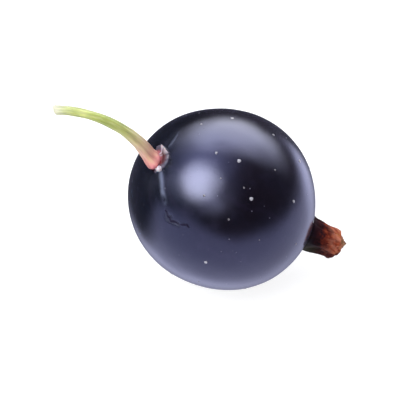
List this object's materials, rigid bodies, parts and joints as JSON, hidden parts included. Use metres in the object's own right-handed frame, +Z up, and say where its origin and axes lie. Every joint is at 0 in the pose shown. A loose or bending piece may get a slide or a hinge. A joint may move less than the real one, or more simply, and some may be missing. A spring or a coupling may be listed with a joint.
{
  "type": "blackcurrant",
  "caption": "A ripe blackcurrant as picked, lying on its side, with a curved green stalk, the torn collar at its foot and the dried flower on the far end.",
  "frame": {"origin": "middle of the small flat spot under the fruit that it rests on", "axes": "+Z up, +X from the stalk end towards the dried flower, +Y away from the viewer of the picture"},
  "size_m": [0.019, 0.012, 0.0143],
  "materials": {
    "skin": "satin",
    "stalk": "matte",
    "collar": "satin",
    "dried_flower": "matte"
  },
  "bodies": {
    "root": {"berry": "skin", "stalk": "stalk", "joint_collar": "collar", "dried_flower": "dried_flower"}
  },
  "joints": []
}
